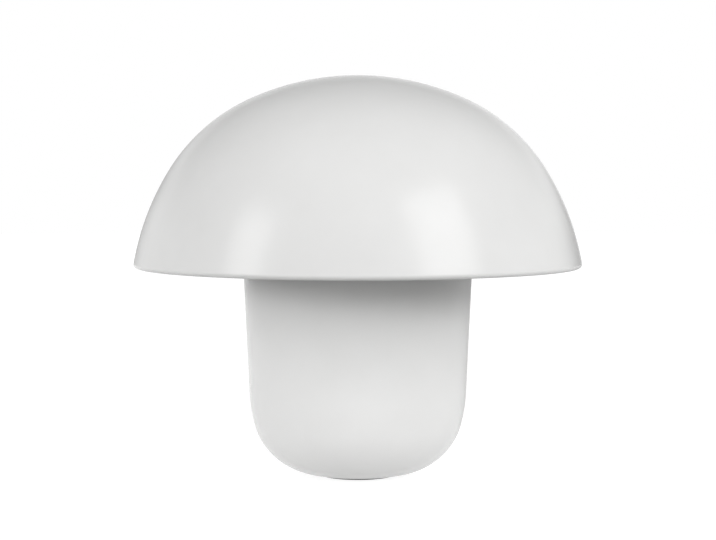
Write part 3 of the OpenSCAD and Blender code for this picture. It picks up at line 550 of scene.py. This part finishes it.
# Lampholder. An E27 holder on a threaded nipple: a cap and a ribbed skirt of glossy white resin, a glazed
# ceramic core, a brass shell with a rolled thread and a sprung brass contact. A nut and a toothed washer
# clamp the nipple under the deck.
nipple_pitch, nipple_reach = 0.001, 0.0052
thread_pitch, thread_depth = 0.003629, 0.00085
shell_groove_r, shell_sheet_t, shell_bend, flange_r = 0.0133, 0.0004, 0.0004, 0.0155
shell_lip_h, shell_lip_flare, shell_plain_h = 0.0012, 0.0005, 0.0026
shell_low, shell_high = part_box("holder_shell")
thread_step = 0.00022


def eased(corners, radius, steps=4):
    """The outline through these corners, each inner one rounded by a quadratic curve that begins and ends
    radius away from it, or halfway along a shorter side."""
    corners = np.asarray(corners, float)
    points = [corners[:1]]
    for before, corner, after in zip(corners, corners[1:], corners[2:]):
        back, on = before - corner, after - corner
        start = corner + back * min(0.5, radius / np.linalg.norm(back))
        end = corner + on * min(0.5, radius / np.linalg.norm(on))
        t = np.linspace(0, 1, steps + 1)[:, None]
        points.append(start * (1 - t) ** 2 + 2 * corner * t * (1 - t) + end * t ** 2)
    return np.concatenate(points + [corners[-1:]])


def split(outline, longest):
    """The outline with points added, so that none of its sides is longer than this."""
    points = [outline[:1]]
    for start, end in zip(outline, outline[1:]):
        count = max(1, int(math.ceil(np.linalg.norm(end - start) / longest)))
        points.append(start + (end - start) * np.linspace(0, 1, count + 1)[1:, None])
    return np.concatenate(points)


def rolled(name, outline, first, last, inwards=False, segments=128):
    """A turned sheet with a round right-hand thread between the heights first and last. A point's radius
    changes by thread_depth times (1 + cos 2 pi u) / 2, with u = z / pitch - angle / 2 pi: crests grow
    outwards from the root, or, where inwards says so, what lies between the crests is pressed inwards from
    the groove. The thread fades over half a pitch at both ends."""
    points = spun(outline, segments)
    a = np.linspace(0, 2 * math.pi, segments, endpoint=False)[None, :]
    z = points[..., 2]
    ends = np.clip(np.minimum(z - first, last - z) / (thread_pitch / 2), 0, 1)
    ends = ends * ends * (3 - 2 * ends)
    crest = (1 + np.cos(2 * math.pi * z / thread_pitch - a)) / 2
    change = thread_depth * ends * (crest - 1 if inwards else crest)
    radius = np.asarray(outline)[:, :1]
    points[..., :2] *= ((radius + change) / radius)[..., None]
    return put(name, points, grid_faces(len(outline), segments, True))


def sheet_brass():
    """Drawn brass: warm, a little tarnished in drifts, with fine lines round its axis from the rolling."""
    material, tree, principled = shader("brass", Metallic=1.0)
    drift = tint(tree, speckle(tree, 0.005), (0.60, 0.44, 0.20), (0.78, 0.60, 0.30), (0.83, 0.67, 0.38))
    tree.links.new(drift, principled.inputs["Base Color"])
    tree.links.new(spread(tree, speckle(tree, 0.001), 0.20, 0.36), principled.inputs["Roughness"])
    raise_by(tree, principled, speckle(tree, 0.0004, stretch=(0.3, 0.3, 4)), 0.000004)
    return material


def glazed_ceramic():
    """White porcelain under a clear glaze that has pooled a little, with a few tiny dark specks."""
    material, tree, principled = shader("glazed_ceramic", Coat_Weight=0.8, Coat_Roughness=0.04)
    tree.links.new(tint(tree, speckle(tree, 0.0006, detail=1.0), (0.30, 0.27, 0.22), (0.76, 0.74, 0.69),
                        (0.80, 0.78, 0.73), start=0.16, end=0.5), principled.inputs["Base Color"])
    tree.links.new(spread(tree, speckle(tree, 0.003), 0.15, 0.30), principled.inputs["Roughness"])
    raise_by(tree, principled, speckle(tree, 0.002), 0.00003)
    return material


brass = sheet_brass()
resin = soft("holder_resin", (0.80, 0.80, 0.78), (0.76, 0.76, 0.74), low=0.16, high=0.26, grain=0.0015,
             depth=0.000004, IOR=1.55)
dress(resin, "holder_cap", "holder_skirt")
dress(glazed_ceramic(), "holder_core")
dress(brass, "holder_contact")
dress(zinc, "holder_screws", "nipple_nut", "nipple_washer")
dress(plated_steel("threaded_nipple", thread=(nipple_pitch, nipple_reach)), "holder_nipple")

lip_z = shell_high.z - shell_lip_h
shell_inside = [(flange_r, shell_low.z), (shell_groove_r, shell_low.z), (shell_groove_r, lip_z),
                (shell_groove_r + shell_lip_flare, shell_high.z)]
shell_outside = [(r + (0 if r == flange_r else shell_sheet_t), max(z, shell_low.z + shell_sheet_t))
                 for r, z in shell_inside]
shell_skins = [split(eased(skin, shell_bend), thread_step) for skin in (shell_inside, shell_outside)]
screw_shell = rolled("screw_shell", np.concatenate([shell_skins[0], shell_skins[1][::-1]]),
                     shell_low.z + shell_plain_h, lip_z, inwards=True)
screw_shell.data.materials.append(brass)
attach(screw_shell, "base")
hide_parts("holder_shell")

# Terminals. A three-way nylon block screwed up under the deck, its clamp screws, the brass earth screw, nut
# and ring terminal, and the three leads in brown, blue and green-and-yellow PVC.
earth_x, stripe_w = 0.008, 0.0011


def insulation(name, colour, stripe=None):
    """Extruded PVC: smooth and even. A stripe is a second colour on the two sides of the lead that lie
    within half its width of the plane x = earth_x, in which the lead runs."""
    material, tree, principled = shader(name, IOR=1.53)
    drift = speckle(tree, 0.004)
    colours = tint(tree, drift, tuple(0.85 * c for c in colour), colour)
    if stripe:
        place = add(tree, "SeparateXYZ", {0: add(tree, "TexCoord").outputs["Object"]})
        on = add(tree, "Math", {0: place.outputs["X"], 1: earth_x, 2: stripe_w / 2}, operation="COMPARE")
        both = add(tree, "Mix", {"Factor": on.outputs[0], "A": colours,
                                 "B": tint(tree, drift, tuple(0.9 * c for c in stripe), stripe)},
                   data_type="RGBA")
        colours = both.outputs["Result"]
    tree.links.new(colours, principled.inputs["Base Color"])
    tree.links.new(spread(tree, speckle(tree, 0.001), 0.30, 0.42), principled.inputs["Roughness"])
    raise_by(tree, principled, speckle(tree, 0.0008), 0.00002)
    return material


dress(soft("block_nylon", (0.80, 0.79, 0.75), (0.74, 0.73, 0.69), low=0.32, high=0.45, Subsurface_Scale=1.0,
           Subsurface_Weight=0.2, Subsurface_Radius=(0.002, 0.002, 0.002)), "terminal_block")
dress(zinc, "terminal_screws", "block_screw")
dress(brass, "earth_screw", "earth_nut", "earth_tag")
dress(insulation("brown_lead", (0.16, 0.065, 0.025)), "live_lead")
dress(insulation("blue_lead", (0.025, 0.12, 0.45)), "neutral_lead")
dress(insulation("green_lead", (0.03, 0.27, 0.06), stripe=(0.78, 0.66, 0.05)), "earth_lead")

# Bulb. A clear blown globe with six rods of filament round a glass stem, crimped and glued into a brass E27
# cap, with black glass and a drop of solder at its foot. It screws into the holder by a right-hand thread.
cap_root_r, cap_neck_r, cap_foot_r, cap_sheet_t = 0.01225, 0.0131, 0.01025, 0.0004
cap_collar_h, cap_slope, cap_foot_t, cap_neck_sag = 0.005, 0.0012, 0.001, 0.0001
cap_plain_h, cap_bend = 0.0014, 0.0005
cap_low, cap_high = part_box("bulb_cap")


def clear_glass():
    """Clear soda glass, drawn out unevenly, so that its skin has long shallow waves."""
    material, tree, principled = shader("bulb_glass", Transmission_Weight=1.0, IOR=1.5, Roughness=0.0)
    tree.links.new(tint(tree, speckle(tree, 0.03), (0.985, 0.99, 0.985), (1.0, 1.0, 1.0)),
                   principled.inputs["Base Color"])
    raise_by(tree, principled, speckle(tree, 0.012, detail=1.0, stretch=(1, 1, 0.4)), 0.0001)
    return material


def phosphor():
    """Silicone filled with phosphor, moulded round the strip of diodes: deep yellow with a fine grain and,
    about 1.7 mm apart, the faint rungs of the diodes under it."""
    material, tree, principled = shader("filament", Subsurface_Weight=0.3, Subsurface_Scale=1.0,
                                        Subsurface_Radius=(0.001, 0.0007, 0.0002))
    place = add(tree, "TexCoord")
    rungs = add(tree, "TexWave", {"Vector": place.outputs["Object"], "Scale": 180.0, "Distortion": 0.3},
                wave_type="BANDS", bands_direction="Z")
    banded = tint(tree, rungs.outputs["Fac"], (0.74, 0.40, 0.05), (0.88, 0.55, 0.10), start=0.1, end=0.9)
    tree.links.new(banded, principled.inputs["Base Color"])
    tree.links.new(spread(tree, speckle(tree, 0.0005), 0.45, 0.65), principled.inputs["Roughness"])
    raise_by(tree, principled, speckle(tree, 0.0003), 0.00002)
    return material


def soldered():
    """A drop of solder that has run and set: dull silver, dimpled."""
    material, tree, principled = shader("solder", Metallic=1.0)
    tree.links.new(tint(tree, speckle(tree, 0.002), (0.46, 0.46, 0.45), (0.66, 0.66, 0.65)),
                   principled.inputs["Base Color"])
    tree.links.new(spread(tree, speckle(tree, 0.001), 0.28, 0.50), principled.inputs["Roughness"])
    raise_by(tree, principled, speckle(tree, 0.0015), 0.0001)
    return material


glass = clear_glass()
dress(glass, "bulb_glass", "bulb_stem")
dress(soft("black_glass", (0.012, 0.010, 0.014), (0.006, 0.005, 0.008), low=0.05, high=0.12, grain=0.002,
           depth=0.00003, IOR=1.52), "bulb_insulator")
dress(soldered(), "bulb_contact")
dress(phosphor(), "bulb_filaments")
dress(zinc, "bulb_supports")

collar_z = cap_high.z - cap_collar_h
bore_r, floor_z = cap_root_r - cap_sheet_t, cap_low.z + cap_foot_t
cap_outside = [(cap_foot_r, cap_low.z), (cap_root_r - cap_slope, cap_low.z),
               (cap_root_r, cap_low.z + cap_slope), (cap_root_r, collar_z - cap_slope),
               (cap_neck_r + cap_sheet_t, collar_z), (cap_neck_r + cap_sheet_t, cap_high.z)]
cap_inside = [(cap_foot_r, floor_z), (bore_r - cap_slope, floor_z),
              (bore_r, floor_z + cap_slope), (bore_r, collar_z - cap_slope),
              (cap_neck_r, collar_z - cap_neck_sag), (cap_neck_r, cap_high.z)]
cap_skins = [split(eased(skin, cap_bend), thread_step) for skin in (cap_outside, cap_inside)]
cap = rolled("cap", np.concatenate([cap_skins[0], cap_skins[1][::-1]]),
             cap_low.z + cap_plain_h, collar_z - cap_slope)
cap.data.materials.append(brass)
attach(cap, "bulb")
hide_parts("bulb_cap")
